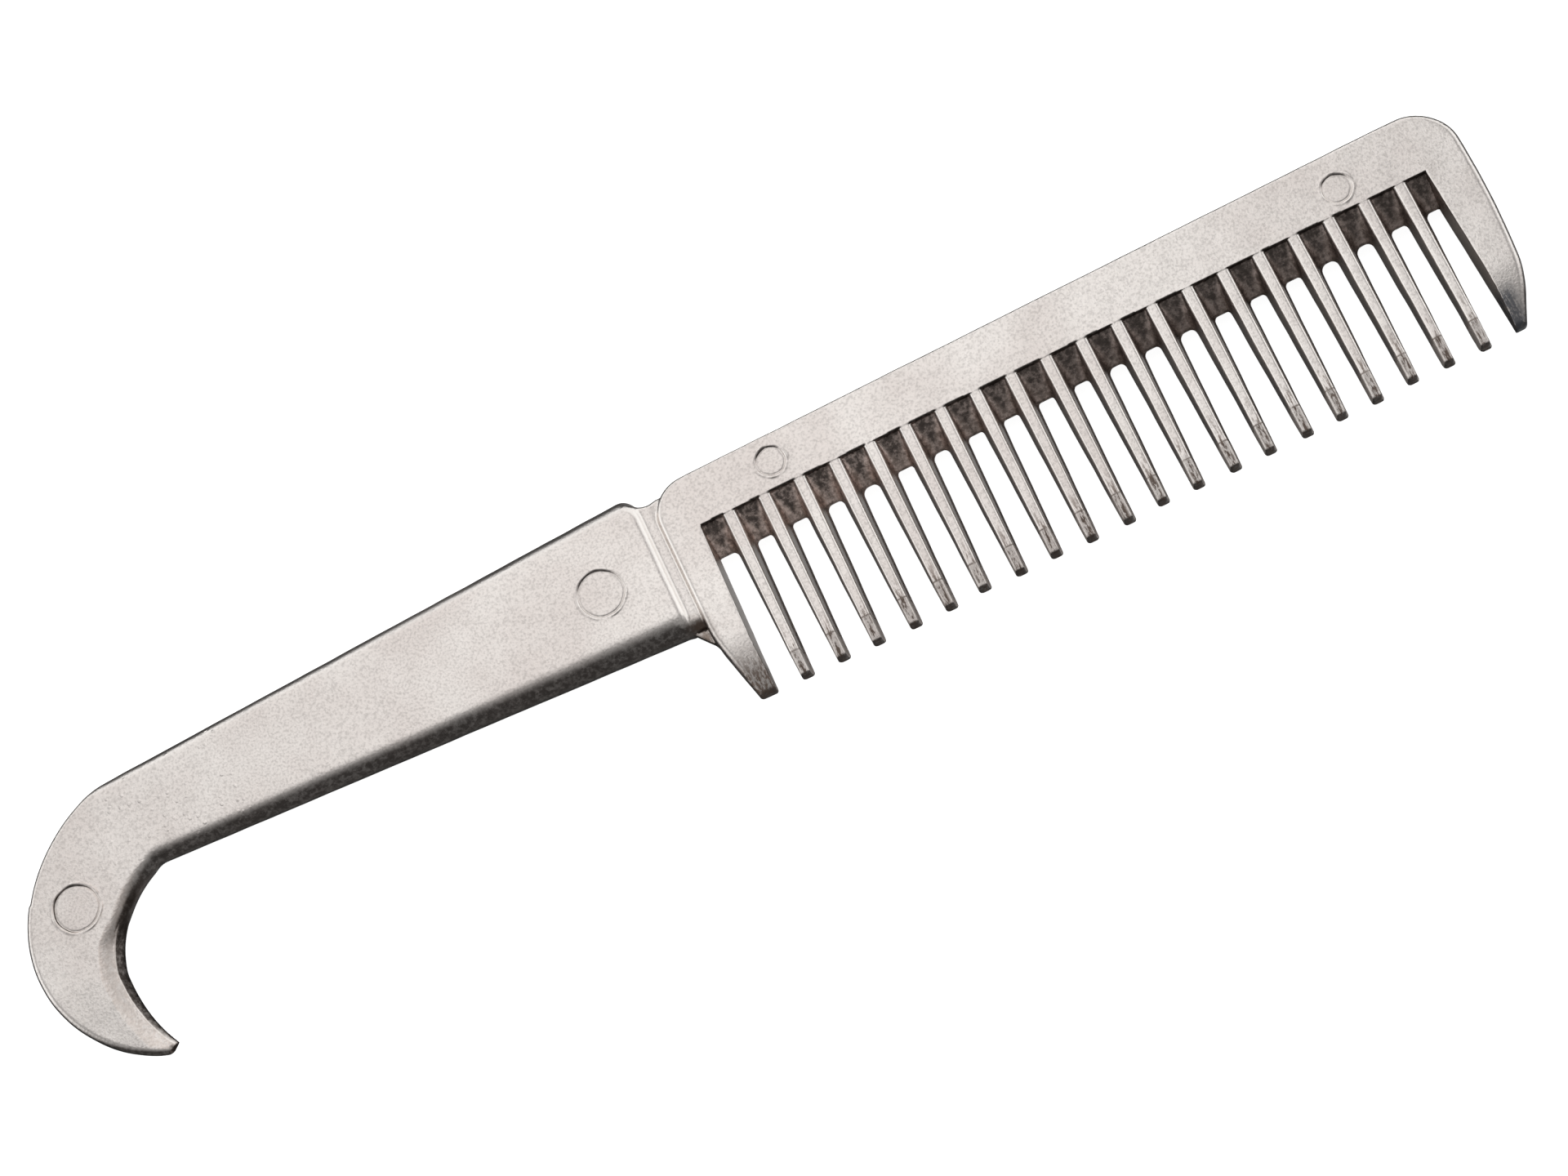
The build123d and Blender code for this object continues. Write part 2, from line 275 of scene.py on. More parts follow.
def grip_lower(x, y):
    """Distance beyond the handle's lower side and the hook's inner side."""
    inside = [-circle(x, y, ring) for ring in HOOK_INSIDE]
    inside = blend(*inside, smoothstep(*HOOK_INSIDE_HANDOVER, y))
    return blend(inside, side(x, y, *HANDLE_BOTTOM), smoothstep(*HOOK_HANDOVER, x))


def grip_field(x, y, height):
    """The handle and the hook as one bar: two long sides that run on into the hook's curves."""
    upper = grip_upper(x, y)
    lower = grip_lower(x, y)
    half = np.interp(x, *zip(*HANDLE_HALVES))
    on_hook = smoothstep(HOOK_X - 2.0, HOOK_X - 8.0, x)
    crook = on_hook * smoothstep(2.0, -4.0, y)
    lean = WALL_LEAN * crook
    bevelled = np.clip((lower + lean + BEVEL_WIDTH) / BEVEL_WIDTH, 0.0, 1.0)
    thinned = np.clip((HOOK_THIN_FROM - y) / (HOOK_THIN_FROM - HOOK_LOW[1]), 0.0, 1.0)
    half = half - (half - HOOK_TIP_HALF) * (on_hook * thinned ** 1.3)
    half = half * (1.0 - BEVEL_SHARE * crook * bevelled ** 1.3)
    lower = lower + lean * np.minimum((np.hypot(height, 0.3) - 0.3) / half, 1.0)
    soft = EDGE_SHARE * half
    grip = round_edge(height - half, upper, blend(soft, HOOK_EDGE, on_hook))
    grip = round_edge(grip, lower, blend(soft, WALL_EDGE, crook))
    end_edge = blend(HANDLE_END_EDGE, HANDLE_CORNER, smoothstep(-4.0, -1.0, upper))
    ended = round_edge(grip, x - HANDLE_END + HANDLE_SHORT, end_edge)
    return np.where(x > HANDLE_END - 20, ended, grip)


def neck_field(x, y, height):
    """The grooved waist between the handle and the comb, and the thin web in the corner under it."""
    away = x - NECK_X
    half = NECK_HALF + NECK_FLARE * np.minimum(away * away, 1.5)
    top = y - NECK_TOP_Y - NECK_TOP_FLARE * (away - 0.9) ** 2
    ends = np.abs(away) - NECK_REACH
    neck = round_edge(np.maximum(height - half, ends), top, 0.7)
    neck = round_edge(neck, -0.1 - y, 1.7)
    web = np.maximum(side(x, y, *NECK_WEB_SIDE), ends)
    web = np.maximum(web, y - 3.0)
    return np.minimum(neck, round_edge(web, height - NECK_WEB_HALF, 0.3))


def marks_depth(x, y):
    """How far the ejector marks sink the front face: a disc with a groove and an uneven lip round it."""
    depth = np.zeros_like(x)
    for mark_x, mark_y, radius in MARKS:
        away = np.hypot(x - mark_x, y - mark_y) - radius
        round_it = np.arctan2(y - mark_y, x - mark_x)
        away = away + 0.04 * np.sin(3.0 * round_it + mark_x) + 0.02 * np.sin(7.0 * round_it)
        depth += MARK_DEPTH * smoothstep(0.14, -0.1, away)
        depth += MARK_GROOVE * np.exp(-((away + 0.05) / 0.16) ** 2)
        unevenness = 0.55 + 0.45 * np.sin(2.0 * round_it + mark_x) * np.cos(5.0 * round_it)
        depth -= MARK_LIP * unevenness * np.exp(-((away - 0.32) / 0.17) ** 2)
    return depth


def waviness(x, y, nature):
    """The slow unevenness of a cast face."""
    total = np.zeros_like(x)
    for wave_x, wave_y, phase in nature["waves"]:
        total += np.sin(wave_x * x + wave_y * y + phase)
    return WAVE_HEIGHT * total


def make_nature():
    """The small differences from tooth to tooth and place to place, the same on every run."""
    dice = np.random.default_rng(11)
    lengths = dice.uniform(4.0, 14.0, 8)
    angles = dice.uniform(0.0, math.pi, 8)
    waves = zip(
        2 * math.pi / lengths * np.cos(angles),
        2 * math.pi / lengths * np.sin(angles),
        dice.uniform(0.0, 2 * math.pi, 8),
    )
    return {
        "lean": dice.uniform(-0.1, 0.16, TOOTH_COUNT),
        "short": dice.uniform(-0.2, 0.15, TOOTH_COUNT),
        "reach": dice.uniform(0.45, 1.0, TOOTH_COUNT + 1),
        "waves": list(waves),
    }


NATURE = make_nature()


def casting_field(points):
    """Distance from the casting's surface, negative inside the metal."""
    x, y, z = points[..., 0], points[..., 1], points[..., 2]
    height = np.abs(z - PARTING_Z)
    back = smoothstep(0.25, -0.25, z - PARTING_Z)
    casting = grip_field(x, y, height)
    casting = fillet(casting, neck_field(x, y, height), NECK_FILLET)
    casting = fillet(casting, comb_field(x, y, height, back, NATURE), COMB_FILLET)
    return casting + np.where(z > FRONT_Z, marks_depth(x, y), 0.0) + waviness(x, y, NATURE)


def gradient(points):
    """The field's slope at each point."""
    reach = 0.02
    steps = np.eye(3) * reach
    slopes = [casting_field(points + step) - casting_field(points - step) for step in steps]
    return np.stack(slopes, axis=-1) / (2 * reach)


def settle(points, rounds=3):
    """Moves points straight onto the casting's surface."""
    for _ in range(rounds):
        slope = gradient(points)
        size = np.maximum((slope * slope).sum(axis=1), 0.25)
        move = casting_field(points)[:, None] * slope / size[:, None]
        points = points - np.clip(move, -0.3, 0.3)
    return points


CORNERS = np.array([(i, j, k) for i in (0, 1) for j in (0, 1) for k in (0, 1)])
CELL_EDGES = [
    (a, b) for a in range(8) for b in range(a + 1, 8) if np.abs(CORNERS[a] - CORNERS[b]).sum() == 1
]


def sample_grid(low, high, step):
    """Grid points over a box and a little beyond."""
    axes = [np.arange(math.floor(a / s) - 1, math.ceil(b / s) + 2) * s for a, b, s in zip(low, high, step)]
    return np.stack(np.meshgrid(*axes, indexing="ij"), axis=-1)


def crossed_cells(inside):
    """The grid cells that have corners both inside and outside the metal."""
    shape = inside.shape
    counts = sum(
        inside[i:shape[0] - 1 + i, j:shape[1] - 1 + j, k:shape[2] - 1 + k].astype(int)
        for i, j, k in CORNERS
    )
    return np.argwhere((counts > 0) & (counts < 8))


def cell_points(grid, field, cells):
    """For each cell, the middle of the places where its edges cross the surface."""
    places = np.stack([grid[tuple((cells + corner).T)] for corner in CORNERS], axis=1)
    values = np.stack([field[tuple((cells + corner).T)] for corner in CORNERS], axis=1)
    total = np.zeros((len(cells), 3))
    crossings = np.zeros((len(cells), 1))
    for a, b in CELL_EDGES:
        crosses = ((values[:, a] < 0) != (values[:, b] < 0))[:, None]
        gap = values[:, a] - values[:, b]
        share = (values[:, a] / np.where(gap == 0, 1, gap))[:, None]
        total += np.where(crosses, places[:, a] + share * (places[:, b] - places[:, a]), 0)
        crossings += crosses
    return total / crossings


def cell_quads(inside, numbers, axis):
    """A quad round each grid edge along one axis that crosses the surface, facing out of the metal."""
    shape = inside.shape
    b, c = (axis + 1) % 3, (axis + 2) % 3
    start = np.take(inside, range(shape[axis] - 1), axis)
    end = np.take(inside, range(1, shape[axis]), axis)
    edges = np.argwhere(start != end)
    whole = (edges[:, b] > 0) & (edges[:, b] < shape[b] - 1)
    whole &= (edges[:, c] > 0) & (edges[:, c] < shape[c] - 1)
    edges = edges[whole]
    ring = []
    for back_b, back_c in ((0, 0), (1, 0), (1, 1), (0, 1)):
        cell = edges.copy()
        cell[:, b] -= back_b
        cell[:, c] -= back_c
        ring.append(numbers[tuple(cell.T)])
    ring = np.stack(ring, axis=1)
    inward = ~start[tuple(edges.T)]
    ring[inward] = ring[inward][:, ::-1]
    return ring


def surface_net(low, high, step):
    """Points and quads of the casting's surface inside a box, one point to each cell it crosses."""
    grid = sample_grid(low, high, step)
    field = casting_field(grid)
    inside = field < 0
    cells = crossed_cells(inside)
    numbers = np.full(np.array(inside.shape) - 1, -1)
    numbers[tuple(cells.T)] = np.arange(len(cells))
    quads = [cell_quads(inside, numbers, axis) for axis in range(3)]
    return settle(cell_points(grid, field, cells)), np.concatenate(quads)


def refine_marks(bm):
    """Gives the faces around each ejector mark's rim enough points to hold it."""
    for _ in range(2):
        near = set()
        for face in bm.faces:
            x, y, z = face.calc_center_median()
            if z < FRONT_Z:
                continue
            for mark_x, mark_y, radius in MARKS:
                if abs(math.hypot(x - mark_x, y - mark_y) - radius) < MARK_RIM:
                    near.update(face.edges)
        if near:
            bmesh.ops.subdivide_edges(bm, edges=list(near), cuts=1, use_grid_fill=True)
    points = settle(np.array([vertex.co for vertex in bm.verts]))
    for vertex, point in zip(bm.verts, points):
        vertex.co = point


def on_plane(vertex, plane):
    return abs((vertex.co - plane[0]).dot(plane[1])) < 1e-3


def cap(bm, planes):
    """Closes a cut mesh with one flat face for each loop that lies in a cut plane."""
    open_edges = [edge for edge in bm.edges if edge.is_boundary]
    rim = {vertex for edge in open_edges for vertex in edge.verts}
    for number, plane in enumerate(planes):
        for other in planes[number + 1:]:
            bend = [v for v in rim if on_plane(v, plane) and on_plane(v, other)]
            bend.sort(key=lambda vertex: vertex.co.z)
            for low, high in zip(bend[::2], bend[1::2]):
                open_edges.append(bm.edges.new((low, high)))
    caps = []
    for plane in planes:
        loop = [edge for edge in open_edges if all(on_plane(v, plane) for v in edge.verts)]
        faces = bmesh.ops.edgeloop_fill(bm, edges=loop)["faces"]
        for face in faces:
            face.normal_update()
            if face.normal.dot(plane[1]) < 0:
                face.normal_flip()
        caps += faces
    return caps


def casting_piece(name, low, high, step, cuts, marks=False):
    """One region of the casting as a closed mesh. Each cut is a point and the way out of the region."""
    points, quads = surface_net(low, high, [size * COARSENESS for size in step])
    mesh = bpy.data.meshes.new(name)
    mesh.from_pydata(points.tolist(), [], quads.tolist())
    bm = bmesh.new()
    bm.from_mesh(mesh)
    if marks:
        refine_marks(bm)
    planes = [(Vector(point), Vector(normal)) for point, normal in cuts]
    for point, normal in planes:
        geometry = bm.verts[:] + bm.edges[:] + bm.faces[:]
        bmesh.ops.bisect_plane(
            bm, geom=geometry, dist=1e-4, plane_co=point, plane_no=normal, clear_outer=True
        )
    for face in bm.faces:
        face.smooth = True
    for face in cap(bm, planes):
        face.smooth = False
    bm.to_mesh(mesh)
    bm.free()
    set_normals(mesh)
    mesh.transform(Matrix.Scale(1 / MM, 4))
    piece = bpy.data.objects.new(name, mesh)
    bpy.context.collection.objects.link(piece)
    return piece


def set_normals(mesh):
    """Shades the cast surface by the field's own slope, and the cut faces flat."""
    points = np.array([vertex.co for vertex in mesh.vertices])
    slope = gradient(points)
    slope /= np.linalg.norm(slope, axis=1)[:, None]
    normals = slope[[loop.vertex_index for loop in mesh.loops]]
    for face in mesh.polygons:
        if not face.use_smooth:
            normals[face.loop_start:face.loop_start + face.loop_total] = face.normal
    mesh.normals_split_custom_set(normals.tolist())


LEFT, RIGHT, DOWN, UP = (-1, 0, 0), (1, 0, 0), (0, -1, 0), (0, 1, 0)
MARGIN = 0.6
COARSENESS = 1.0
BOTTOM, TOP = -MARGIN, 2 * HALF + MARGIN


def make_casting():
    """Every region, with the CAD node that it stands for."""
    regions = []

    def region(name, node, x_range, y_range, step, cuts, marks=False):
        low = (x_range[0] - MARGIN, y_range[0] - MARGIN, BOTTOM)
        high = (x_range[1] + MARGIN, y_range[1] + MARGIN, TOP)
        regions.append((casting_piece(name, low, high, step, cuts, marks), node))

    handle_cut, comb_cut = NECK_CUTS
    inner_cut, outer_cut = GUARD_CUTS
    root = (0, ROOT_CUT_Y, 0)
    gap_end = (0, GAP_END_Y, 0)
    face_step = (0.34, 0.34, 0.3)
    region("cast_hoof_hook", "hoof_hook", (HOOK_LOW[0], HOOK_X), (HOOK_LOW[1], 19), (0.26, 0.26, 0.22),
           [((HOOK_X, 0, 0), RIGHT)], True)
    region("cast_handle", "handle", (HOOK_X, handle_cut), (-1, 22), (0.42, 0.34, 0.3),
           [((HOOK_X, 0, 0), LEFT), ((handle_cut, 0, 0), RIGHT)], True)
    region("cast_neck", "neck", (handle_cut, comb_cut), (-3, 22), (0.16, 0.25, 0.2),
           [((handle_cut, 0, 0), LEFT), ((comb_cut, 0, 0), RIGHT)])
    region("cast_spine", "comb_spine", (comb_cut, COMB_RIGHT), (ROOT_Y, SPINE_TOP), face_step,
           [((comb_cut, 0, 0), LEFT), (root, DOWN)], True)
    region("cast_webs", "comb_spine", (inner_cut, outer_cut), (GAP_END_Y, ROOT_Y), (0.2, 0.25, 0.22),
           [((inner_cut, 0, 0), LEFT), ((outer_cut, 0, 0), RIGHT), (root, UP), (gap_end, DOWN)])
    region("cast_inner_guard", "inner_guard", (comb_cut, inner_cut), (GUARD_TIP_Y, ROOT_Y),
           (0.2, 0.34, 0.25), [((comb_cut, 0, 0), LEFT), ((inner_cut, 0, 0), RIGHT), (root, UP)])
    region("cast_outer_guard", "outer_guard", (outer_cut, COMB_RIGHT), (GUARD_TIP_Y, ROOT_Y),
           (0.2, 0.34, 0.25), [((outer_cut, 0, 0), LEFT), (root, UP)])
    for number in range(TOOTH_COUNT):
        centre = FIRST_TOOTH_X + number * TOOTH_PITCH
        node = f"tooth_{number + 1:02}"
        x_range = (centre - TOOTH_PITCH / 2 + MARGIN, centre + TOOTH_PITCH / 2 - MARGIN)
        region(f"cast_{node}", node, x_range, (TIP_Y, GAP_END_Y), (0.18, 0.42, 0.2), [(gap_end, UP)])
    return regions


class Painter:
    """Builds the nodes of a material or a world. Every value may be a number or a node's output."""

    def __init__(self, owner, shader):
        owner.use_nodes = True
        self.nodes = owner.node_tree.nodes
        self.links = owner.node_tree.links
        self.shader = self.nodes[shader]

    def put(self, socket, value):
        if isinstance(value, bpy.types.NodeSocket):
            self.links.new(value, socket)
        else:
            socket.default_value = value

    def math(self, operation, *values):
        node = self.nodes.new("ShaderNodeMath")
        node.operation = operation
        for socket, value in zip(node.inputs, values):
            self.put(socket, value)
        return node.outputs[0]

    def ramp(self, value, start, end, low=0.0, high=1.0):
        """Low before start and high after end, with a soft ramp between them."""
        node = self.nodes.new("ShaderNodeMapRange")
        node.interpolation_type = "SMOOTHSTEP"
        if start > end:
            start, end, low, high = end, start, high, low
        for socket, number in zip(node.inputs, (value, start, end, low, high)):
            self.put(socket, number)
        return node.outputs[0]

    def times(self, *values):
        total = values[0]
        for value in values[1:]:
            total = self.math("MULTIPLY", total, value)
        return total

    def plus(self, *values):
        total = values[0]
        for value in values[1:]:
            total = self.math("ADD", total, value)
        return total

    def band(self, value, middle, reach):
        """1 at the middle, fading to 0 that far to either side."""
        return self.ramp(self.math("ABSOLUTE", self.math("SUBTRACT", value, middle)), reach, 0.0)

    def split(self, vector):
        node = self.nodes.new("ShaderNodeSeparateXYZ")
        self.put(node.inputs[0], vector)
        return node.outputs

    def mix(self, share, first, second):
        """Two colours mixed by a share."""
        node = self.nodes.new("ShaderNodeMix")
        node.data_type = "RGBA"
        self.put(node.inputs["Factor"], share)
        self.put(node.inputs["A"], first)
        self.put(node.inputs["B"], second)
        return node.outputs["Result"]

    def noise(self, place, size, detail=2.0, stretch=(1, 1, 1), roughness=0.5):
        """Noise from 0 to 1 whose lumps are about size millimetres across."""
        node = self.nodes.new("ShaderNodeTexNoise")
        scaled = self.nodes.new("ShaderNodeVectorMath")
        scaled.operation = "MULTIPLY"
        self.put(scaled.inputs[0], place)
        scaled.inputs[1].default_value = [1.0 / (size * part) for part in stretch]
        self.put(node.inputs["Vector"], scaled.outputs[0])
        node.inputs["Scale"].default_value = 1.0
        node.inputs["Detail"].default_value = detail
        node.inputs["Roughness"].default_value = roughness
        return node.outputs["Fac"]


BUMP_HEIGHT = 0.000035       # metres
CLEAN = (0.79, 0.745, 0.71, 1)
WARM = (0.74, 0.68, 0.645, 1)
# painted highlight along the rounded edges that face +Y or sideways
EDGE_HIGHLIGHT = (0.97, 0.93, 0.89, 1)
# painted shade on the steep sides
STEEP_SHADE = (0.52, 0.475, 0.44, 1)
# mottled tones of the painted shade on the webs
WEB_LIGHT = (0.76, 0.62, 0.56, 1)
WEB_DARK = (0.28, 0.22, 0.19, 1)
# painted shade on the hook's inner bevel
BEVEL_SHADE = (0.48, 0.38, 0.32, 1)
# brown of the tooth dirt and the inner guard's stain, and also painted shade in the neck's lower corner
BROWN = (0.16, 0.115, 0.09, 1)
STAIN = (0.10, 0.11, 0.13, 1)
# the dark grain, and also painted shade on the sides that face -Y, on the hook's inner wall and on the
# webs
DARK_GRAIN_AND_SHADE = (0.045, 0.036, 0.031, 1)


def surface_values(paint):
    """What the material knows about a point of the surface, in millimetres."""
    coordinates = paint.nodes.new("ShaderNodeTexCoord")
    scaled = paint.nodes.new("ShaderNodeVectorMath")
    scaled.operation = "SCALE"
    paint.put(scaled.inputs[0], coordinates.outputs["Object"])
    scaled.inputs["Scale"].default_value = MM
    place = scaled.outputs[0]
    x, y, z = paint.split(place)
    facing = paint.split(paint.nodes.new("ShaderNodeNewGeometry").outputs["Normal"])
    gap = paint.math("FRACT", paint.math("DIVIDE", paint.math("SUBTRACT", x, FIRST_TOOTH_X), TOOTH_PITCH))
    return SimpleNamespace(
        place=place, x=x, y=y, facing=facing,
        height=paint.math("ABSOLUTE", paint.math("SUBTRACT", z, PARTING_Z)),
        upright=paint.math("ABSOLUTE", facing["Z"]),
        off_centre=paint.math("ABSOLUTE", paint.math("SUBTRACT", gap, 0.5)),
        between_guards=paint.times(
            paint.ramp(x, INNER_SIDE[0] - 0.9, INNER_SIDE[0] - 0.5),
            paint.ramp(x, OUTER_SIDE[0] + 1.2, OUTER_SIDE[0] + 0.8),
        ),
        cloud=paint.noise(place, 14.0, 3.0),
        grain=paint.noise(place, 0.34, 2.0),
        speck=paint.noise(place, 0.2, 1.0),
        mottle=paint.noise(place, 0.8, 3.0, roughness=0.7),
        streak=paint.noise(place, 0.35, 3.0, stretch=(1, 6, 1), roughness=0.7),
    )


def clean_metal(paint, at):
    """The bare metal with a dark grain, painted shade where it is steep and a painted highlight along its
    rounded edges.
    """
    metal = paint.mix(paint.ramp(at.cloud, 0.3, 0.7), CLEAN, WARM)
    metal = paint.mix(paint.ramp(at.grain, 0.38, 0.75, 0.0, 0.26), metal, DARK_GRAIN_AND_SHADE)
    # painted shade: the steep sides darker
    metal = paint.mix(paint.times(paint.ramp(at.upright, 0.55, 0.25), 0.8), metal, STEEP_SHADE)
    # painted highlight along the rounded edges, except those that face -Y
    rim = paint.times(paint.band(at.upright, 0.82, 0.15), paint.ramp(at.facing["Y"], -0.3, -0.05))
    return paint.mix(rim, metal, EDGE_HIGHLIGHT)


def paint_side_shade(paint, at, metal):
    """Painted shade, mottled, on the sides that face -Y, on the hook's inner bevel and wall and in the
    neck's lower corner.
    """
    # painted shade: the sides that face -Y darker, mottled
    under = paint.times(paint.ramp(at.facing["Y"], -0.2, -0.65), paint.ramp(at.mottle, 0.3, 0.6, 0.7, 1.0))
    metal = paint.mix(paint.times(under, 0.9), metal, DARK_GRAIN_AND_SHADE)
    on_hook = paint.ramp(at.x, HOOK_X - 3.0, HOOK_X - 7.0)
    inward = at.facing["X"]
    # painted shade on the hook's inner bevel, faint and mottled
    bevel = paint.times(on_hook, paint.ramp(inward, 0.04, 0.2), paint.ramp(at.mottle, 0.3, 0.6, 0.1, 0.35))
    metal = paint.mix(bevel, metal, BEVEL_SHADE)
    # painted shade on the hook's steep inner wall, mottled
    wall = paint.times(on_hook, paint.ramp(at.upright, 0.86, 0.7), paint.ramp(inward, 0.2, 0.5))
    metal = paint.mix(paint.times(wall, paint.ramp(at.mottle, 0.3, 0.6, 0.7, 0.95)), metal, DARK_GRAIN_AND_SHADE)
    # painted shade in the neck's lower corner, mottled
    low_in_neck = paint.times(paint.band(at.x, NECK_X, 2.6), paint.ramp(at.y, 3.0, 0.0))
    corner = paint.times(low_in_neck, paint.ramp(at.mottle, 0.3, 0.6, 0.5, 0.9))
    return paint.mix(corner, metal, BROWN)


def recess_share(paint, at):
    """1 in the recesses between the tooth roots, 0 on the faces and down the teeth."""
    below_root = paint.times(at.between_guards, paint.ramp(at.y, ROOT_Y + 0.08, ROOT_Y))
    sunk = paint.ramp(at.height, HALF - 0.2, HALF - 0.5)
    return paint.times(below_root, sunk, paint.ramp(at.y, GAP_END_Y - 2.5, GAP_END_Y + 0.5, 0.0, 1.0))


def recess_shade(paint, at):
    """Painted shade on the webs, mottled, darkest in a V from the root line down and darker towards the
    free end.
    """
    wide = paint.ramp(at.y, GAP_END_Y + 0.6, ROOT_Y, 0.0, 0.3)
    vee = paint.ramp(paint.math("SUBTRACT", at.off_centre, wide), 0.08, -0.08)
    web_shade = paint.mix(paint.ramp(at.mottle, 0.32, 0.66), WEB_LIGHT, WEB_DARK)
    web_shade = paint.mix(paint.times(vee, paint.ramp(at.mottle, 0.3, 0.6, 0.4, 0.85)), web_shade, DARK_GRAIN_AND_SHADE)
    # painted shade: darker towards the free end
    return paint.mix(paint.ramp(at.x, 10.0, 60.0, 0.0, 0.52), web_shade, DARK_GRAIN_AND_SHADE)


def tooth_dirt_share(paint, at):
    """Dark streaks down each tooth's ridge near its tip, and a line where its bevel begins."""
    from_ridge = paint.times(paint.math("SUBTRACT", 0.5, at.off_centre), TOOTH_PITCH)
    worn = paint.ramp(paint.plus(at.y, paint.times(at.cloud, 3.0)), -2.0, -8.0)
    streaks = paint.times(worn, paint.ramp(at.streak, 0.47, 0.58), paint.ramp(from_ridge, 0.62, 0.2))
    line = paint.times(paint.band(at.y, BEVEL_Y + 0.05, 0.2), paint.ramp(at.mottle, 0.3, 0.5, 0.3, 0.8))
    return paint.times(at.between_guards, paint.math("MAXIMUM", streaks, line))


def inner_stain_share(paint, at):
    """The stain on the inner guard's tip."""
    on_guard = paint.times(
        paint.ramp(at.x, INNER_SIDE[0] - 0.5, INNER_SIDE[0] - 0.9), paint.ramp(at.x, -12.0, -10.5)
    )
    deep = paint.ramp(paint.plus(at.y, paint.times(at.cloud, 4.0)), -2.5, -8.0)
    return paint.times(on_guard, deep, paint.ramp(at.streak, 0.42, 0.56, 0.2, 1.0))


def outer_stain_share(paint, at):
    """The stain on the outer guard's tip."""
    on_guard = paint.times(
        paint.ramp(at.x, OUTER_SIDE[0] + 0.8, OUTER_SIDE[0] + 1.2),
        paint.ramp(at.x, 107.2, 105.4), paint.ramp(at.y, -5.5, -8.0),
    )
    return paint.times(on_guard, paint.ramp(at.streak, 0.34, 0.54, 0.3, 1.0))


def blisters(paint, at):
    """Small round blisters in the metal, most of them where the handle meets the hook."""
    cells = paint.nodes.new("ShaderNodeTexVoronoi")
    cells.inputs["Scale"].default_value = 0.95
    paint.put(cells.inputs["Vector"], at.place)
    many = paint.times(paint.ramp(at.x, -68.0, -78.0), paint.ramp(at.x, -98.0, -90.0))
    many = paint.times(many, paint.ramp(paint.noise(at.place, 2.5, 1.0), 0.42, 0.6))
    blister = paint.ramp(cells.outputs["Distance"], 0.3, 0.1)
    return paint.times(blister, paint.plus(paint.times(many, 1.1), 0.12))


def cast_aluminium():
    """Satin cast aluminium with a fine grain, dirt and stains, painted shade on its steep, -Y facing and
    recessed places and a painted highlight along its edges.
    """
    material = bpy.data.materials.new("cast_aluminium")
    paint = Painter(material, "Principled BSDF")
    at = surface_values(paint)
    recess = recess_share(paint, at)
    tooth_dirt = tooth_dirt_share(paint, at)
    inner_stain = inner_stain_share(paint, at)

    # the bare metal with its painted shade and painted highlight
    metal = paint_side_shade(paint, at, clean_metal(paint, at))
    # painted shade in the recesses between the tooth roots
    metal = paint.mix(paint.times(recess, 0.95), metal, recess_shade(paint, at))
    metal = paint.mix(paint.times(tooth_dirt, 0.9), metal, BROWN)
    metal = paint.mix(paint.times(inner_stain, 0.9), metal, BROWN)
    metal = paint.mix(paint.times(outer_stain_share(paint, at), 0.85), metal, STAIN)
    paint.put(paint.shader.inputs["Base Color"], metal)
    paint.shader.inputs["Metallic"].default_value = 1.0

    # the tooth dirt, the stain and the recesses of painted shade together, used only for roughness
    dirt_and_recess_shade = paint.math("MAXIMUM", recess, paint.math("MAXIMUM", tooth_dirt, inner_stain))
    tips = paint.times(at.between_guards, paint.ramp(at.y, BEVEL_Y + 1.0, BEVEL_Y - 0.5))
    satin = paint.ramp(at.cloud, 0.3, 0.7, 0.3, 0.37)
    rough = paint.plus(satin, paint.times(dirt_and_recess_shade, 0.15), paint.times(tips, 0.25))
    paint.put(paint.shader.inputs["Roughness"], rough)

    relief = paint.plus(paint.times(at.grain, 0.8), paint.times(at.speck, 0.4))
    relief = paint.plus(relief, paint.times(recess, at.mottle, 2.0), blisters(paint, at))
    bump = paint.nodes.new("ShaderNodeBump")
    bump.inputs["Strength"].default_value = 1.0
    bump.inputs["Distance"].default_value = BUMP_HEIGHT
    paint.put(bump.inputs["Height"], relief)
    paint.put(paint.shader.inputs["Normal"], bump.outputs["Normal"])
    return material


VIEW_ASIDE, VIEW_BELOW, VIEW_ROLL = (math.radians(angle) for angle in (1.4, 17.5, 26.0))
VIEW_DISTANCE = 0.576


def add_camera():
    """Looks at the front face from a little below, turned so that the comb rises to the right."""
    target = Vector((0.0022, -0.00055, 2 * HALF / MM))
    towards = Vector((math.tan(VIEW_ASIDE), -math.tan(VIEW_BELOW), 1.0)).normalized()
    across = (Vector((1, 0, 0)) - towards * towards.x).normalized()
    down = (-towards).cross(across)
    right = math.cos(VIEW_ROLL) * across + math.sin(VIEW_ROLL) * down
    up = math.sin(VIEW_ROLL) * across - math.cos(VIEW_ROLL) * down
    data = bpy.data.cameras.new("camera")
    data.lens = 99.25
    data.sensor_width = 36.0
    data.clip_end = 20.0
    camera = bpy.data.objects.new("camera", data)
    bpy.context.collection.objects.link(camera)
    turn = Matrix((right, up, towards)).transposed()
    camera.matrix_world = Matrix.Translation(target + VIEW_DISTANCE * towards) @ turn.to_4x4()
    bpy.context.scene.camera = camera


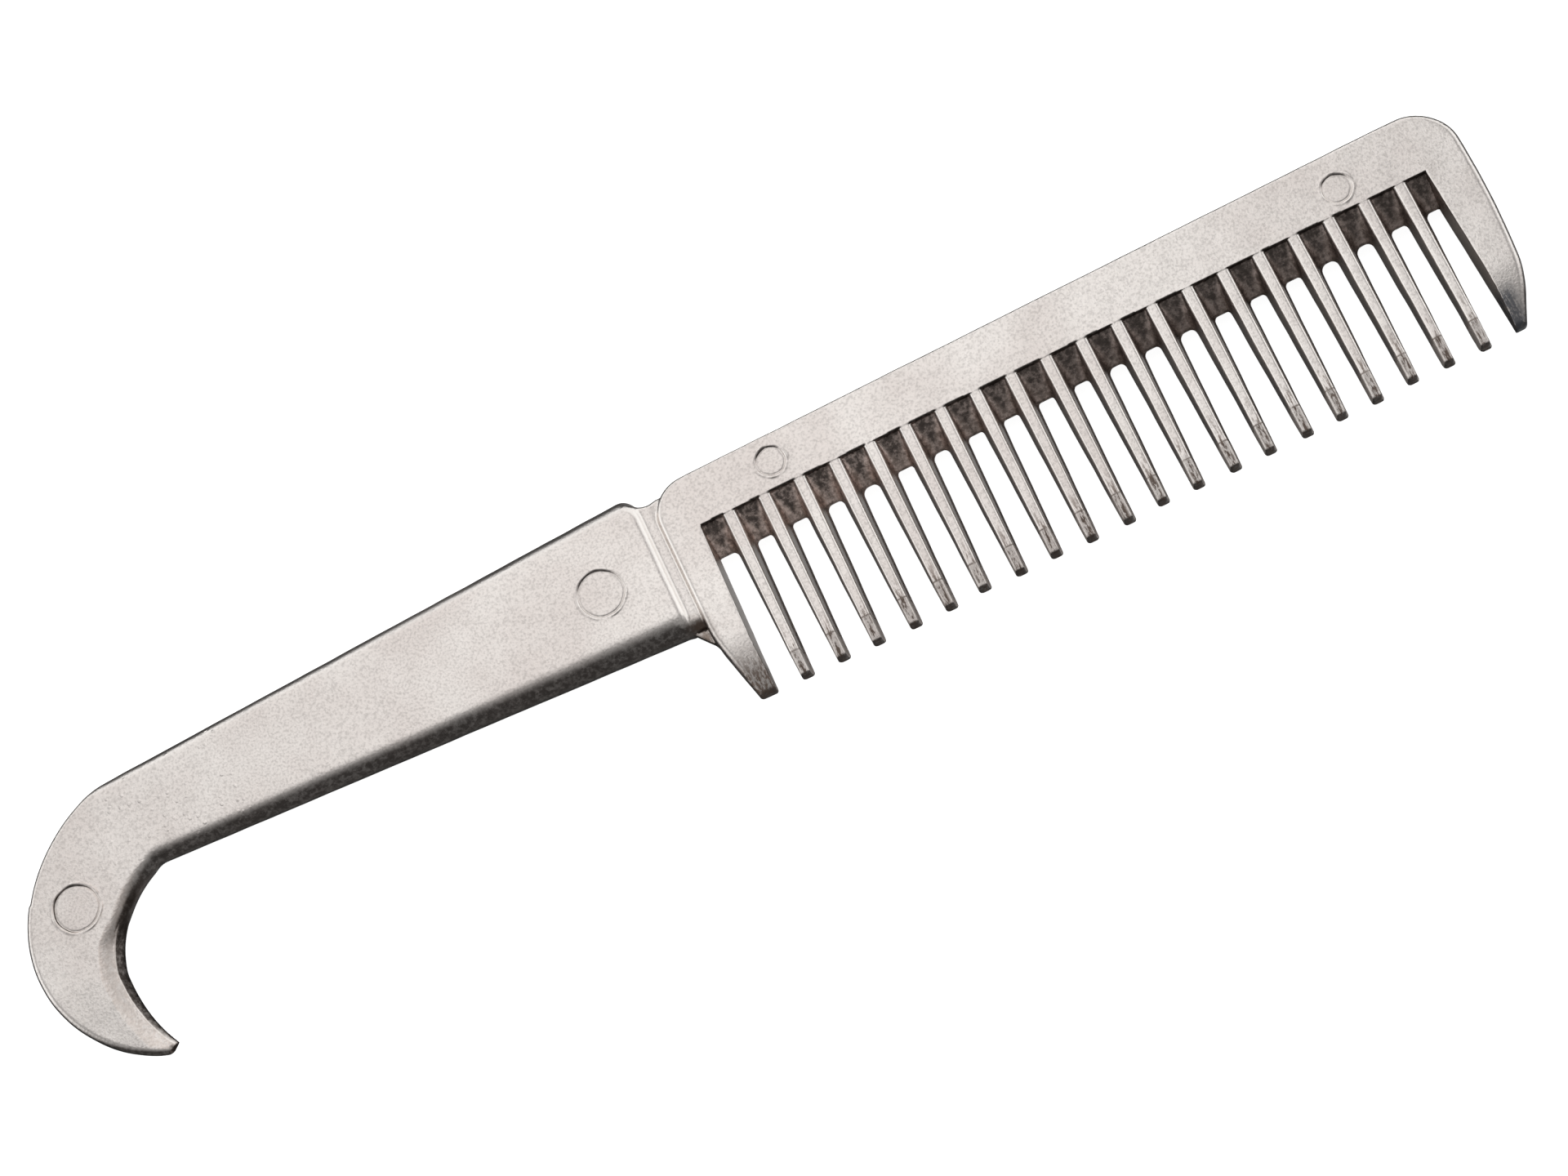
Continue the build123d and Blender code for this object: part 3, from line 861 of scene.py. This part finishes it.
def add_softbox(name, place, size, power):
    """A rectangular light that faces the origin."""
    data = bpy.data.lights.new(name, "AREA")
    data.shape = "RECTANGLE"
    data.size, data.size_y = size
    data.energy = power
    lamp = bpy.data.objects.new(name, data)
    bpy.context.collection.objects.link(lamp)
    lamp.location = place
    lamp.rotation_euler = (Vector() - Vector(place)).to_track_quat("-Z", "Y").to_euler()


def add_room():
    """A room that is bright above the horizon and dim overhead, on the near side and underneath."""
    world = bpy.data.worlds.new("room")
    bpy.context.scene.world = world
    paint = Painter(world, "Background")
    direction = paint.nodes.new("ShaderNodeTexCoord")
    x, y, z = paint.split(direction.outputs["Generated"])
    near = paint.ramp(y, -0.2, -0.6)
    above = paint.ramp(paint.plus(z, paint.times(y, -0.1)), -0.1, 0.05)
    ring = paint.ramp(z, 0.8, 0.55, 0.3, 1.1)
    opposite = paint.ramp(y, 0.5, 0.75, 0.3, 1.1)
    far_side = paint.times(above, paint.math("MAXIMUM", ring, opposite))
    near_side = paint.ramp(z, 0.3, 0.95, 0.24, 0.32)
    below = paint.times(paint.ramp(z, -0.5, -0.8), paint.ramp(x, 0.0, 0.45, 0.04, 0.45))
    far = paint.math("SUBTRACT", 1.0, near)
    level = paint.plus(paint.times(far_side, far), paint.times(near_side, near))
    paint.put(paint.shader.inputs["Color"], paint.plus(level, below, 0.02))


def add_studio():
    """A pale floor and two soft lights overhead."""
    bpy.ops.mesh.primitive_plane_add(size=6.0, location=(0, 0, 0))
    floor = bpy.context.object
    floor.name = "floor"
    paint = bpy.data.materials.new("floor_paint")
    paint.use_nodes = True
    shader = paint.node_tree.nodes["Principled BSDF"]
    shader.inputs["Base Color"].default_value = (0.6, 0.6, 0.6, 1)
    shader.inputs["Roughness"].default_value = 1.0
    shader.inputs["Emission Color"].default_value = (1, 1, 1, 1)
    shader.inputs["Emission Strength"].default_value = 0.94
    floor.data.materials.append(paint)
    floor.visible_glossy = False
    add_softbox("overhead", (-0.03, 0.19, 0.6), (0.64, 0.52), 0.75)
    add_softbox("key", (0.0, 0.24, 0.59), (0.16, 0.16), 0.03)
    bpy.context.scene.view_settings.view_transform = "Standard"


aluminium = cast_aluminium()
for piece, node in make_casting():
    piece.data.materials.append(aluminium)
    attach(piece, "root")
    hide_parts(node)
add_camera()
add_studio()
add_room()
